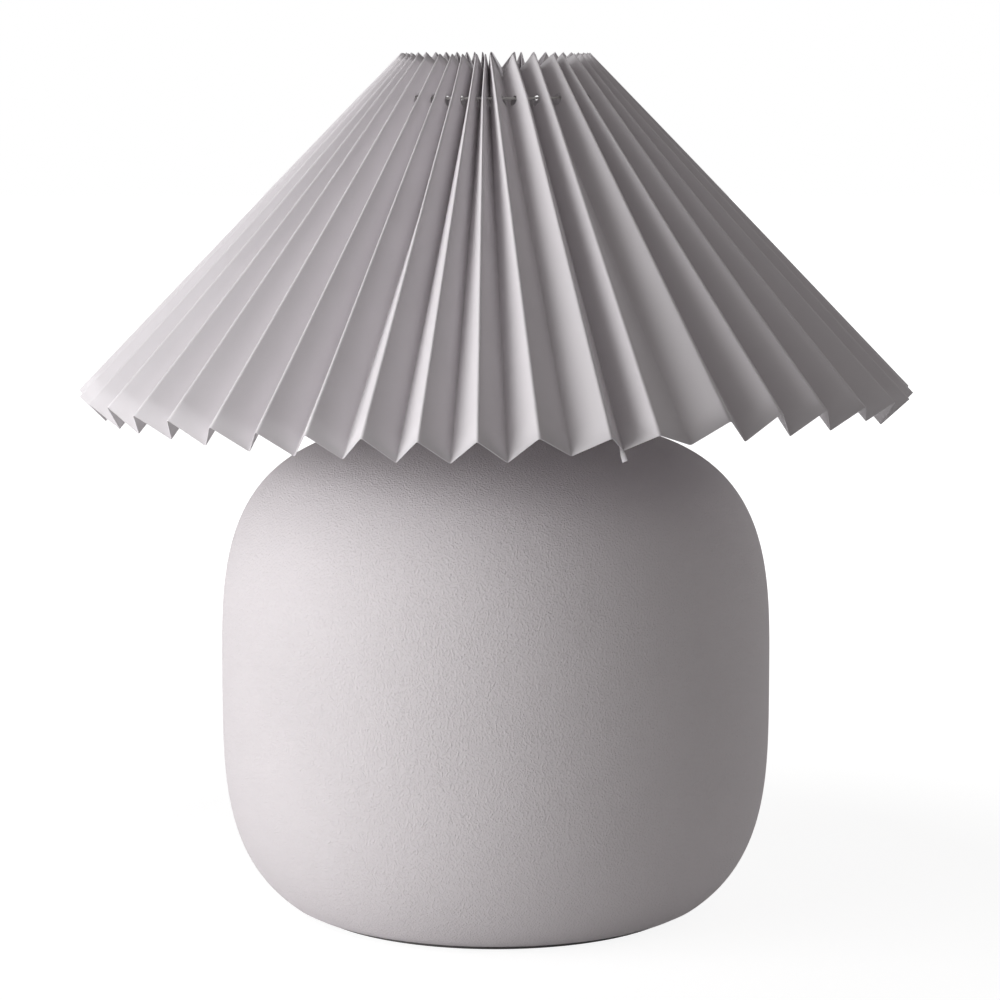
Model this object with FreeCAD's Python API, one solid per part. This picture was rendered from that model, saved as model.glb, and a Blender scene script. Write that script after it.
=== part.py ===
"""Table lamp: a round-shouldered stoneware base under a cone of pleated paper.

Sizes are in millimetres. Z points up and the origin is the middle of the foot, on the table.
Bearings are in degrees round the axis: 0 is the front (-Y) and 90 is the right (+X).
"""
import FreeCAD, Part
import math
import os
from FreeCAD import Vector

os.makedirs("parts", exist_ok=True)

UP = Vector(0, 0, 1)
ORIGIN = Vector(0, 0, 0)

# ---- stoneware body ----
body_radius = 149.3            # widest, at the belly
belly_height = 124.9           # height of the widest place
body_half_height = 139.1       # from the belly to the flat landing on top
body_squareness = 3.41         # exponent of the superellipse: 2 is an ellipse, more is squarer
body_wall = 5.5
body_floor = 6.0               # thickness of the ring left round the mouth underneath
body_mouth_radius = 75.0       # hole underneath
body_edge_round = 3.5          # glaze-line round at the lower edge
landing_hole_radius = 5.4

# ---- foot and cover ----
foot_thickness = 3.2
foot_radius = 103.5
foot_width = 15.0
cover_radius = 86.0
cover_thickness = 2.0
skirt_thickness = 2.2
skirt_height = 8.5
lug_count = 4
lug_width = 12.0
lug_height = 1.6
lug_reach = 1.4                # how far a lug hooks out past the mouth

# ---- cord inlet ----
gland_height = 30.0
gland_bore_radius = 3.6
gland_neck_radius = 5.3
gland_flange_radius = 8.0
gland_flange_thickness = 2.0
gland_nose_length = 6.0
gland_nose_radius = 6.4        # where the nose leaves the flange
gland_tip_radius = 5.0
gland_thread_length = 15.0     # neck below the flange
gland_nut_flats = 15.0
gland_nut_height = 4.0
seat_depth = 0.8               # flat ground into the wall for the flange
seat_margin = 0.6

# ---- threaded tube and what it clamps ----
nipple_radius = 5.0
nipple_bore_radius = 3.7
nipple_below = 15.0            # how far it hangs under the inside of the top
nipple_in_cap = 10.0           # how far it is screwed into the lampholder's cap
gasket_radius = 17.5
gasket_thickness = 1.5
inner_gasket_radius = 14.0
washer_radius = 15.0
washer_thickness = 1.5
nut_flats = 14.0
inner_nut_height = 4.0
neck_nut_height = 3.0
neck_cap_radius = 22.0
neck_cap_wall = 1.4
neck_cap_lift = 0.3            # gap between its rim and the stoneware

# ---- lampholder ----
holder_lift = 0.3              # gap over the neck nut
cap_boss_radius = 9.0
cap_boss_height = 4.5
cap_radius = 21.5
cap_height = 22.0
cap_wall = 2.2
shell_radius = 19.9            # over its outside thread
shell_height = 39.0
shell_foot_radius = 21.5
shell_foot_height = 4.4
thread_pitch = 2.5
thread_depth = 0.8
shell_lip = 1.0                # narrower lip that holds the screw shell down
counterbore_radius = 17.4
counterbore_depth = 11.0
screw_shell_radius = 14.3
screw_shell_wall = 0.6
insert_height = 19.0
contact_width = 7.0
contact_thickness = 0.5
contact_rise = 2.2
terminal_radius = 1.8
terminal_length = 6.0
terminal_offset = 9.5
grub_radius = 1.5

# ---- shade rings and carrier ----
shade_ring_radius = 26.0
shade_ring_height = 5.0
grip_count = 24
grip_radius = 1.1
hub_radius = 29.0
hub_thickness = 2.0
hub_height = 311.0             # underside of the hub, above the table
arm_count = 3
arm_first_bearing = 57.0
arm_radius = 1.3
arm_elbow_radius = 38.0        # distance from the axis where the arm turns up
arm_elbow_rise = 14.0
arm_bend = 8.0
cradle_width = 2.0
cradle_wall = 1.4
cradle_floor = 2.0
cradle_lip = 0.6               # how far the cradle's lips rise over the wire's middle

# ---- shade ----
pleat_count = 45
paper_thickness = 0.4
rim_radius = 225.0             # ridges, at the rim
rim_height = 285.2
rim_panel_width = 24.2         # from a ridge to the valley beside it, at the rim
mouth_radius = 51.5            # ridges, at the mouth
mouth_height = 465.1
mouth_panel_width = 15.4
rim_trim = 7.0                 # the most that the sheet is cut short at the rim, on the right
rim_trim_starts = 22.0         # bearings between which the cut deepens, stays and fades
rim_trim_full = 28.0
rim_trim_fades = 62.0
rim_trim_ends = 75.0
wire_radius = 0.6
wire_height = 442.8
hole_radius = 3.1
hole_past_valley = 6.3         # middle of a punched hole, outside an even pleat's valley fold
hole_share = 0.45              # length cut each way, of the distance between the ridges
wire_slack = 0.35              # between the wire and the edge of its hole
wire_climb = 22.0              # degrees up from level, from a hole's middle out to the wire

# Pleats round the front lie unevenly: bearings of their ridges, left to right.
front_rim_bearings = (-64.0, -55.4, -47.3, -39.2, -31.8, -24.4, -16.7, -9.4, -1.9,
                      5.7, 14.6, 20.8, 32.0, 40.5, 49.4, 58.8, 69.5)
front_mouth_bearings = (-66.5, -59.9, -53.7, -45.6, -35.5, -26.8, -20.2, -11.4, -6.0,
                        -3.3, 10.4, 23.9, 37.0, 44.1, 55.5, 63.5, 70.7)

# ---- bulb ----
bulb_cap_radius = 13.1
bulb_cap_length = 22.0
bulb_cap_wall = 0.5
bulb_tip_radius = 4.5
bulb_tip_height = 1.6
bulb_insulator_height = 3.2
bulb_radius = 30.0
bulb_length = 109.0
bulb_wall = 1.0
housing_length = 37.0
housing_neck_radius = 13.6
housing_rim_radius = 27.0
board_thickness = 1.6

# ---- clearances ----
thread_gap = 0.06              # radial, thread on thread
slip_gap = 0.3                 # radial, one piece round another
ring_gap = 0.25                # radial, shade ring on the holder's thread
face_gap = 0.2                 # between faces that turn on each other
rest_gap = 0.2                 # between the shade's wire and its cradles
bulb_gap = 0.3                 # between the bulb and what it stands on

# ---- heights that follow ----
body_top = belly_height + body_half_height
body_base = foot_thickness
inside_top = body_top - body_wall
cap_base = body_top + gasket_thickness + neck_cap_wall + neck_nut_height + holder_lift
cap_top = cap_base + cap_height
shell_base = cap_top
shell_top = shell_base + shell_height
insert_top = shell_base + counterbore_depth
insert_base = insert_top - insert_height
contact_top = insert_top + contact_rise
bulb_base = contact_top + bulb_gap
bulb_cap_base = bulb_base + bulb_tip_height + bulb_insulator_height
bulb_cap_top = bulb_cap_base + bulb_cap_length
housing_top = bulb_cap_top + housing_length
bulb_top = bulb_base + bulb_length


def around(bearing, radius, height):
    """The point at a bearing, a distance from the axis and a height."""
    angle = math.radians(bearing)
    return Vector(radius * math.sin(angle), -radius * math.cos(angle), height)


def tube(outer, inner, base, height):
    """An upright ring or tube on the axis."""
    middle = Vector(0, 0, base)
    return Part.makeCylinder(outer, height, middle).cut(Part.makeCylinder(inner, height, middle))


def turned(outline):
    """A solid turned about the axis from (radius, height) corners, closed on itself."""
    corners = [Vector(radius, 0, height) for radius, height in outline]
    face = Part.Face(Part.makePolygon(corners + corners[:1]))
    return face.revolve(ORIGIN, UP, 360)


def hexagon(flats, base, height):
    """An upright hexagonal bar on the axis."""
    reach = flats / math.sqrt(3)
    corners = [around(60 * side, reach, base) for side in range(7)]
    return Part.Face(Part.makePolygon(corners)).extrude(Vector(0, 0, height))


def save(name, shape):
    shape.exportStep(f"parts/{name}.step")


# ---- stoneware body, foot and cover ----
def body_profile_radius(height, radius, half_height):
    """Distance of the superellipse from the axis at a height."""
    share = abs(height - belly_height) / half_height
    return radius * (1 - share ** body_squareness) ** (1 / body_squareness)


def body_solid(radius, half_height, base, top):
    """The superellipse turned about the axis, between two flat ends."""
    steps = 28
    start = math.asin(((belly_height - base) / half_height) ** (body_squareness / 2))
    last_share = min((top - belly_height) / half_height, 0.99999)
    end = math.asin(last_share ** (body_squareness / 2))
    points = []
    for step in range(steps + 1):
        angle = -start + (start + end) * step / steps
        across = radius * math.cos(angle) ** (2 / body_squareness)
        rise = math.copysign(abs(math.sin(angle)) ** (2 / body_squareness), angle)
        points.append(Vector(across, 0, belly_height + half_height * rise))
    points[0].z = base
    curve = Part.BSplineCurve()
    curve.interpolate(points)
    ends = [Vector(0, 0, points[-1].z), Vector(0, 0, base)]
    lines = Part.makePolygon([points[-1]] + ends + [points[0]])
    face = Part.Face(Part.Wire([curve.toShape()] + lines.Edges))
    return face.revolve(ORIGIN, UP, 360)


def gland_axis():
    """Where the cord inlet meets the outside of the wall, and the way out, square to it."""
    radius = body_profile_radius(gland_height, body_radius, body_half_height)
    share_up = (belly_height - gland_height) / body_half_height
    share_out = radius / body_radius
    slope_out = share_out ** (body_squareness - 1) / body_radius
    slope_down = share_up ** (body_squareness - 1) / body_half_height
    outward = Vector(0, slope_out, -slope_down).normalize()
    wall_here = body_wall * (share_out * outward.y - share_up * outward.z)
    return Vector(0, radius, gland_height), outward, wall_here


inlet, inlet_out, inlet_wall = gland_axis()
inlet_seat = inlet - inlet_out * seat_depth


def make_ceramic_body():
    outside = body_solid(body_radius, body_half_height, body_base, body_top)
    low_edge = [edge for edge in outside.Edges
                if abs(edge.BoundBox.ZMax - body_base) < 0.01 and edge.BoundBox.XLength > body_radius]
    outside = outside.makeFillet(body_edge_round, low_edge)
    inside = body_solid(body_radius - body_wall, body_half_height - body_wall,
                        body_base + body_floor, inside_top)
    flat_inside = Part.makeCylinder(washer_radius + seat_margin, body_wall,
                                    Vector(0, 0, inside_top - body_wall))
    shell = outside.cut(inside).cut(flat_inside)
    shell = shell.cut(Part.makeCylinder(landing_hole_radius, body_half_height, Vector(0, 0, belly_height)))
    shell = shell.cut(Part.makeCylinder(body_mouth_radius, belly_height, ORIGIN))
    seat = Part.makeCylinder(gland_flange_radius + seat_margin, body_wall, inlet_seat, inlet_out)
    hole = Part.makeCylinder(gland_neck_radius + slip_gap, 4 * body_wall,
                             inlet - inlet_out * 2 * body_wall, inlet_out)
    return shell.cut(seat).cut(hole)


def make_foot_ring():
    return tube(foot_radius, foot_radius - foot_width, 0, foot_thickness)


def make_bottom_cover():
    """A moulded plug: a plate, a skirt that goes up into the mouth, and lugs that hook over it."""
    skirt_radius = body_mouth_radius - slip_gap
    plate_base = foot_thickness - cover_thickness
    plate = Part.makeCylinder(cover_radius, cover_thickness, Vector(0, 0, plate_base))
    cover = plate.fuse(tube(skirt_radius, skirt_radius - skirt_thickness, foot_thickness, skirt_height))
    lug_base = foot_thickness + body_floor + slip_gap
    lug_inner = skirt_radius - skirt_thickness
    ring = tube(body_mouth_radius + lug_reach, lug_inner, lug_base, lug_height)
    for number in range(lug_count):
        block = Part.makeBox(lug_width, 2 * body_mouth_radius, lug_height,
                             Vector(-lug_width / 2, 0, lug_base))
        block.rotate(ORIGIN, UP, 360 / lug_count * (number + 0.5))
        cover = cover.fuse(ring.common(block))
    return cover.removeSplitter()


# ---- cord inlet ----
def along_inlet(shape):
    """Lay a shape built on the Z axis along the inlet, its zero on the seat."""
    shape.Placement = FreeCAD.Placement(inlet_seat, FreeCAD.Rotation(UP, inlet_out))
    return shape


def make_cord_gland():
    flange = gland_flange_thickness
    outline = [(gland_bore_radius, -gland_thread_length), (gland_neck_radius, -gland_thread_length),
               (gland_neck_radius, 0), (gland_flange_radius, 0), (gland_flange_radius, flange),
               (gland_nose_radius, flange), (gland_tip_radius, flange + gland_nose_length),
               (gland_bore_radius, flange + gland_nose_length)]
    return along_inlet(turned(outline))


def make_gland_nut():
    face = seat_depth - inlet_wall - seat_margin
    nut = hexagon(gland_nut_flats, face - gland_nut_height, gland_nut_height)
    bore = Part.makeCylinder(gland_neck_radius + thread_gap, gland_nut_height,
                             Vector(0, 0, face - gland_nut_height))
    return along_inlet(nut.cut(bore))


# ---- threaded tube and what it clamps ----
def make_nipple():
    base = inside_top - nipple_below
    return tube(nipple_radius, nipple_bore_radius, base, cap_base + nipple_in_cap - base)


def make_nut(base, height):
    bore = Part.makeCylinder(nipple_radius + thread_gap, height, Vector(0, 0, base))
    return hexagon(nut_flats, base, height).cut(bore)


def make_clamping_pieces():
    """Everything that the threaded tube holds, from the nut inside up to the one on the neck cap."""
    bore = nipple_radius + slip_gap
    under_gasket = inside_top - gasket_thickness
    under_washer = under_gasket - washer_thickness
    plate_base = body_top + gasket_thickness
    neck_cap = turned([(bore, plate_base), (neck_cap_radius - neck_cap_wall, plate_base),
                       (neck_cap_radius - neck_cap_wall, body_top + neck_cap_lift),
                       (neck_cap_radius, body_top + neck_cap_lift),
                       (neck_cap_radius, plate_base + neck_cap_wall), (bore, plate_base + neck_cap_wall)])
    return {
        "inner_nut": make_nut(under_washer - inner_nut_height, inner_nut_height),
        "inner_washer": tube(washer_radius, bore, under_washer, washer_thickness),
        "inner_gasket": tube(inner_gasket_radius, bore, under_gasket, gasket_thickness),
        "neck_gasket": tube(gasket_radius, bore, body_top, gasket_thickness),
        "neck_cap": neck_cap,
        "neck_nut": make_nut(plate_base + neck_cap_wall, neck_nut_height),
    }


# ---- lampholder ----
def make_holder_cap():
    """The moulded cup on the end of the threaded tube, with a boss for the locking screw."""
    shoulder = cap_base + cap_height / 2
    boss_top = cap_base + cap_boss_height
    bore = nipple_radius + thread_gap
    hollow_base = cap_base + nipple_in_cap
    outline = [(bore, cap_base), (cap_boss_radius, cap_base), (cap_boss_radius, boss_top),
               (cap_radius, shoulder), (cap_radius, cap_top), (cap_radius - cap_wall, cap_top),
               (cap_radius - cap_wall, shoulder + cap_wall), (bore, hollow_base + slip_gap)]
    screw_hole = Part.makeCylinder(grub_radius + thread_gap, cap_boss_radius,
                                   Vector(0, 0, cap_base + cap_boss_height / 2), Vector(0, 1, 0))
    return turned(outline).cut(screw_hole)


def make_grub_screw():
    """The locking screw, out through the back of the boss."""
    start = Vector(0, nipple_radius + thread_gap, cap_base + cap_boss_height / 2)
    screw = Part.makeCylinder(grub_radius, cap_boss_radius - nipple_radius, start, Vector(0, 1, 0))
    slot_width = grub_radius / 2
    slot = Part.makeBox(2 * grub_radius, slot_width, slot_width,
                        start + Vector(-grub_radius, cap_boss_radius - nipple_radius - slot_width,
                                       -slot_width / 2))
    return screw.cut(slot)


def make_holder_shell():
    """The skirt: a counterbore below for the insert, a lip on top, and the outside thread as rings."""
    bore = screw_shell_radius + thread_gap
    foot_top = shell_base + shell_foot_height
    lip_base = shell_top - shell_lip
    lip_radius = bulb_cap_radius + 2 * slip_gap
    wide = counterbore_radius
    root = shell_radius - thread_depth
    turns = int((shell_top - foot_top) / thread_pitch)
    thread = []
    for turn in range(turns):
        low = foot_top + thread_pitch * turn
        thread += [(root, low), (root, low + thread_pitch / 4), (shell_radius, low + thread_pitch / 2),
                   (shell_radius, low + thread_pitch * 3 / 4)]
    thread += [(root, foot_top + thread_pitch * turns), (root, shell_top)]
    return turned([(wide, shell_base), (shell_foot_radius, shell_base), (shell_foot_radius, foot_top)]
                  + thread + [(lip_radius, shell_top), (lip_radius, lip_base), (bore, lip_base),
                              (bore, insert_top), (wide, insert_top)])


def make_screw_shell():
    height = shell_top - shell_lip - insert_top - face_gap
    return tube(screw_shell_radius, screw_shell_radius - screw_shell_wall, insert_top, height)


def make_holder_insert():
    """The ceramic core under the bulb, with a hole for each terminal screw."""
    radius = counterbore_radius - slip_gap
    core = Part.makeCylinder(radius, insert_height, Vector(0, 0, insert_base))
    for side in (-1, 1):
        hole = Part.makeCylinder(terminal_radius + thread_gap, terminal_length,
                                 Vector(side * terminal_offset, 0, insert_base))
        core = core.cut(hole)
    return core


def make_terminal_screws():
    """Two screws that clamp the wires under the insert, as one group."""
    screws = []
    for side in (-1, 1):
        place = Vector(side * terminal_offset, 0, insert_base - terminal_radius)
        shank = Part.makeCylinder(terminal_radius, terminal_length, place)
        slot = Part.makeBox(2 * terminal_radius, terminal_radius / 2, terminal_radius / 2,
                            place + Vector(-terminal_radius, -terminal_radius / 4, 0))
        screws.append(shank.cut(slot))
    return Part.Compound(screws)


def bent_strip(start, end):
    """A contact strip, a foot flat on the insert and a tongue raised to the bulb."""
    thickness = contact_thickness
    middle = (start + end) / 2
    top = contact_top
    low = insert_top
    corners = [(start, low), (middle, low), (end, top - thickness), (end + thickness, top - thickness),
               (end + thickness, top), (end - thickness / 2, top), (middle - thickness / 2, low + thickness),
               (start, low + thickness)]
    outline = Part.makePolygon([Vector(x, -contact_width / 2, z) for x, z in corners + corners[:1]])
    return Part.Face(outline).extrude(Vector(0, contact_width, 0))


def make_centre_contact():
    return bent_strip(-bulb_cap_radius + slip_gap + contact_width / 2, -contact_thickness)


def make_side_contact():
    """The strip that feeds the screw shell: a flat foot with an upright leaf just inside the shell."""
    reach = screw_shell_radius - screw_shell_wall - slip_gap
    place = Vector(reach - contact_width, -contact_width / 4, insert_top)
    foot = Part.makeBox(contact_width, contact_width / 2, contact_thickness, place)
    leaf = Part.makeBox(contact_thickness, contact_width / 2, 2 * contact_rise,
                        place + Vector(contact_width - contact_thickness, 0, 0))
    return foot.fuse(leaf).removeSplitter()


# ---- shade rings and carrier ----
def make_shade_ring(base):
    """A threaded ring with a gripping edge."""
    ring = tube(shade_ring_radius, shell_radius + ring_gap, base, shade_ring_height)
    grips = [Part.makeCylinder(grip_radius, shade_ring_height,
                               around(360 / grip_count * number, shade_ring_radius + grip_radius / 2, base))
             for number in range(grip_count)]
    return ring.cut(grips)


def make_carrier_hub():
    return tube(hub_radius, shell_radius + ring_gap, hub_height, hub_thickness)


# ---- shade ----
def all_bearings(front):
    """The front's ridge bearings, then the rest of the pleats spread evenly round the back."""
    rest = pleat_count - len(front)
    step = (360 - (front[-1] - front[0])) / (rest + 1)
    return list(front) + [front[-1] + step * (number + 1) for number in range(rest)]


def fold_points(ridge_bearings, ridge_radius, ridge_height, panel_width):
    """Corners of the folded sheet, a ridge and then a valley, once round, in mid-paper.

    All panels are equally wide, so the wider a pleat is pulled, the shallower its valley.
    """
    points = []
    for number, bearing in enumerate(ridge_bearings):
        following = ridge_bearings[(number + 1) % len(ridge_bearings)]
        half_gap = (following - bearing) % 360 / 2
        across = min(ridge_radius * math.radians(half_gap), 0.95 * panel_width)
        depth = math.sqrt(panel_width ** 2 - across ** 2)
        points.append(around(bearing, ridge_radius, ridge_height))
        points.append(around(bearing + half_gap, ridge_radius - depth * pleat_in,
                             ridge_height - depth * pleat_down))
    return points


def trimmed(rim, mouth):
    """The rim's corners, drawn up along their folds where the sheet is cut short."""
    corners = []
    for low, high in zip(rim, mouth):
        bearing = bearing_of(low)
        grown = (bearing - rim_trim_starts) / (rim_trim_full - rim_trim_starts)
        left = (rim_trim_ends - bearing) / (rim_trim_ends - rim_trim_fades)
        share = max(0, min(1, grown, left))
        corners.append(low + (high - low).normalize() * (rim_trim * share))
    return corners


def bearing_of(point):
    return math.degrees(math.atan2(point.x, -point.y))


def paper_faces(points):
    """The corners moved out and in by half the paper's thickness, mitred at each fold."""
    outer = []
    inner = []
    for number, point in enumerate(points):
        before = (points[number - 1] - point).normalize()
        after = (points[(number + 1) % len(points)] - point).normalize()
        half_angle = before.getAngle(after) / 2
        outward = (before + after).normalize()
        if outward.dot(Vector(point.x, point.y, 0)) < 0:
            outward = outward * -1
        shift = outward * (paper_thickness / 2 / math.sin(half_angle))
        outer.append(point + shift)
        inner.append(point - shift)
    return outer, inner


def strip(first_start, first_end, second_start, second_end):
    """The straight-ruled face between two edges."""
    return Part.makeRuledSurface(Part.makeLine(first_start, first_end),
                                 Part.makeLine(second_start, second_end))


ridge_length = math.hypot(rim_radius - mouth_radius, mouth_height - rim_height)
pleat_in = (mouth_height - rim_height) / ridge_length      # a valley lies square to the ridge fold
pleat_down = (rim_radius - mouth_radius) / ridge_length
mouth_points = fold_points(all_bearings(front_mouth_bearings), mouth_radius, mouth_height,
                           mouth_panel_width)
rim_points = trimmed(fold_points(all_bearings(front_rim_bearings), rim_radius, rim_height,
                                 rim_panel_width), mouth_points)


def fold_at(number, height):
    """Where a fold crosses a height."""
    low, high = rim_points[number], mouth_points[number]
    return low + (high - low) * ((height - low.z) / (high.z - low.z))


def hole_distance(valley):
    """From the axis to the middle of a valley's hole: clear of its fold, and with the wire inside."""
    own, even = fold_at(valley, hole_level), fold_at(1, hole_level)
    return max(math.hypot(own.x, own.y), math.hypot(even.x, even.y)) + hole_past_valley


wire_reach = hole_radius - wire_radius - wire_slack
hole_level = wire_height - wire_reach * math.sin(math.radians(wire_climb))
wire_ring_radius = hole_distance(1) + wire_reach * math.cos(math.radians(wire_climb))


def punched_hole(valley):
    """The round cutter for the hole that lets the wire through both panels of one valley."""
    before = fold_at(valley - 1, hole_level)
    after = fold_at((valley + 1) % len(rim_points), hole_level)
    half_length = hole_share * before.distanceToPoint(after)
    bearing = bearing_of(fold_at(valley, hole_level))
    along = around(bearing + 90, 1, 0)
    middle = around(bearing, hole_distance(valley), hole_level)
    return Part.makeCylinder(hole_radius, 2 * half_length, middle - along * half_length, along)


def make_pleated_shade():
    """One folded sheet, closed round the axis, hung by its valley folds on the wire ring."""
    rim_outer, rim_inner = paper_faces(rim_points)
    mouth_outer, mouth_inner = paper_faces(mouth_points)
    faces = []
    for number in range(len(rim_points)):
        after = (number + 1) % len(rim_points)
        faces.append(strip(rim_outer[number], mouth_outer[number], rim_outer[after], mouth_outer[after]))
        faces.append(strip(rim_inner[number], mouth_inner[number], rim_inner[after], mouth_inner[after]))
        faces.append(strip(rim_outer[number], rim_outer[after], rim_inner[number], rim_inner[after]))
        faces.append(strip(mouth_outer[number], mouth_outer[after], mouth_inner[number], mouth_inner[after]))
    shell = Part.Shell(faces)
    sheet = Part.Solid(shell)
    if sheet.Volume < 0:
        sheet = sheet.reversed()
    return sheet.cut([punched_hole(valley) for valley in range(1, len(rim_points), 2)])


def make_shade_wire():
    return Part.makeTorus(wire_ring_radius, wire_radius, Vector(0, 0, wire_height))


# ---- carrier arms ----
def ridge_bearing_near(bearing):
    """The bearing, at the wire, of the ridge fold nearest to a wanted one."""
    bearings = [bearing_of(fold_at(ridge, wire_height)) for ridge in range(0, len(rim_points), 2)]
    return min(bearings, key=lambda found: abs((found - bearing + 180) % 360 - 180))


def bent_rod(corners, bend, radius):
    """A round rod along straight runs joined by arcs of one radius."""
    edges = []
    start = corners[0]
    for number in range(1, len(corners) - 1):
        corner = corners[number]
        back = (corners[number - 1] - corner).normalize()
        ahead = (corners[number + 1] - corner).normalize()
        half_angle = back.getAngle(ahead) / 2
        reach = bend / math.tan(half_angle)
        arc_start = corner + back * reach
        arc_end = corner + ahead * reach
        towards = (back + ahead).normalize()
        centre = corner + towards * (bend / math.sin(half_angle))
        edges.append(Part.makeLine(start, arc_start))
        edges.append(Part.Arc(arc_start, centre - towards * bend, arc_end).toShape())
        start = arc_end
    edges.append(Part.makeLine(start, corners[-1]))
    path = Part.Wire(edges)
    first_run = (edges[0].Vertexes[-1].Point - edges[0].Vertexes[0].Point).normalize()
    section = Part.Wire([Part.makeCircle(radius, corners[0], first_run)])
    return path.makePipeShell([section], True, True)


def make_carrier_arm(number):
    """A rod from the hub, out and up beside the bulb, to a cradle under the shade's wire."""
    bearing = ridge_bearing_near(arm_first_bearing + 360 / arm_count * number)
    groove = wire_radius + rest_gap
    reach = groove + cradle_wall
    seat = wire_height - groove - cradle_floor
    level = hub_height + hub_thickness / 2
    corners = [Vector(hub_radius, 0, level), Vector(arm_elbow_radius, 0, level + arm_elbow_rise),
               Vector(wire_ring_radius, 0, seat + cradle_floor / 2)]
    rod = bent_rod(corners, arm_bend, arm_radius)
    hub_cut = tube(hub_radius, shell_radius, hub_height - arm_radius, hub_thickness + 2 * arm_radius)
    block = Part.makeBox(2 * reach, cradle_width, cradle_floor + groove + cradle_lip,
                         Vector(wire_ring_radius - reach, -cradle_width / 2, seat))
    channel = Part.makeBox(2 * groove, cradle_width, groove + cradle_lip,
                           Vector(wire_ring_radius - groove, -cradle_width / 2, wire_height))
    wire_room = Part.makeTorus(wire_ring_radius, groove, Vector(0, 0, wire_height))
    arm = rod.cut(hub_cut).fuse(block).cut(channel).cut(wire_room)
    arm.rotate(ORIGIN, UP, bearing - 90)
    return arm


# ---- bulb ----
def make_bulb():
    """The bulb's pieces: tip, insulator, screw cap, housing, light board and opal globe."""
    tip_top = bulb_base + bulb_tip_height
    insulator_base_radius = bulb_tip_radius + bulb_insulator_height
    rim = housing_rim_radius
    half_way = (bulb_cap_top + housing_top) / 2
    neck_bulge = (housing_neck_radius + rim) / 2 - bulb_wall
    housing = turned([(0, bulb_cap_top), (housing_neck_radius, bulb_cap_top), (neck_bulge, half_way),
                      (rim, housing_top), (rim - 2 * bulb_wall, housing_top),
                      (neck_bulge - 2 * bulb_wall, half_way), (0, half_way)])
    board = Part.makeCylinder(rim - 4 * bulb_wall, board_thickness,
                              Vector(0, 0, housing_top - 2 * board_thickness))
    cap = tube(bulb_cap_radius, bulb_cap_radius - bulb_cap_wall, bulb_cap_base, bulb_cap_length)
    insulator = Part.makeCone(insulator_base_radius, bulb_cap_radius - bulb_cap_wall,
                              bulb_insulator_height, Vector(0, 0, tip_top))
    tip = Part.makeCone(bulb_tip_radius * 0.6, bulb_tip_radius, bulb_tip_height, Vector(0, 0, bulb_base))
    return {
        "bulb_contact": tip,
        "bulb_insulator": insulator,
        "bulb_cap": cap,
        "bulb_housing": housing,
        "bulb_board": board,
        "bulb_globe": make_globe(bulb_radius, 0).cut(make_globe(bulb_radius - bulb_wall, bulb_wall)),
    }


def make_globe(radius, inset):
    """The opal dome: from the housing's rim out to the widest place and over the top."""
    widest = Vector(radius, 0, bulb_top - bulb_radius)
    foot = Vector(housing_rim_radius - inset, 0, housing_top)
    top = Vector(0, 0, widest.z + radius)
    shoulder = Vector(radius * math.sqrt(0.5), 0, widest.z + radius * math.sqrt(0.5))
    over = Part.Arc(widest, shoulder, top).toShape()
    side = Part.Arc(foot, Vector((foot.x + 3 * radius) / 4, 0, (foot.z + widest.z) / 2), widest).toShape()
    close = Part.makePolygon([top, Vector(0, 0, housing_top), foot])
    return Part.Face(Part.Wire([side, over] + close.Edges)).revolve(ORIGIN, UP, 360)


# ---- write every piece ----
pieces = {
    "ceramic_body": make_ceramic_body(),
    "foot_ring": make_foot_ring(),
    "bottom_cover": make_bottom_cover(),
    "cord_gland": make_cord_gland(),
    "gland_nut": make_gland_nut(),
    "threaded_nipple": make_nipple(),
    "holder_cap": make_holder_cap(),
    "holder_grub_screw": make_grub_screw(),
    "holder_shell": make_holder_shell(),
    "holder_screw_shell": make_screw_shell(),
    "holder_insert": make_holder_insert(),
    "terminal_screws": make_terminal_screws(),
    "centre_contact": make_centre_contact(),
    "side_contact": make_side_contact(),
    "lower_shade_ring": make_shade_ring(hub_height - face_gap - shade_ring_height),
    "upper_shade_ring": make_shade_ring(hub_height + hub_thickness + face_gap),
    "carrier_hub": make_carrier_hub(),
    "pleated_shade": make_pleated_shade(),
    "shade_wire": make_shade_wire(),
}
pieces.update(make_clamping_pieces())
pieces.update(make_bulb())
for arm_number in range(arm_count):
    pieces[f"carrier_arm_{arm_number + 1}"] = make_carrier_arm(arm_number)

for piece_name, piece in pieces.items():
    save(piece_name, piece)
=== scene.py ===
"""A stoneware table lamp under a cone of folded paper, with the studio it stands in.

Sizes in the settings are in metres, as Blender shows them. Bearings are in degrees round the
lamp's axis: 0 is the front (-Y) and 90 is the right (+X).
"""
import math
import random

import bmesh
import bpy
from bpy.props import FloatProperty, FloatVectorProperty, IntProperty, PointerProperty
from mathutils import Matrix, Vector


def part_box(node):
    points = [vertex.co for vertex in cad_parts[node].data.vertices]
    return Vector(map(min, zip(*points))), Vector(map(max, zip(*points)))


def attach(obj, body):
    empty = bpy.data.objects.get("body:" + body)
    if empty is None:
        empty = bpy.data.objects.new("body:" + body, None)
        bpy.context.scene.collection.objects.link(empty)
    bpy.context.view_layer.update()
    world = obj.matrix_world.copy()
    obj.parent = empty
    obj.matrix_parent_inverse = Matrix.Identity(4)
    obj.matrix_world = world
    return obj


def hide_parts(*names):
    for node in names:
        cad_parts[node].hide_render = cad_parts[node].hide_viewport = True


bl_info = {
    "name": "Pleated Paper Table Lamp",
    "version": (1, 0, 0),
    "blender": (4, 5, 0),
    "location": "View3D > Sidebar > Lamp",
    "description": "Makes the lamp's finished surfaces round its construction, and a pale studio",
    "category": "Add Mesh",
}

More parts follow.
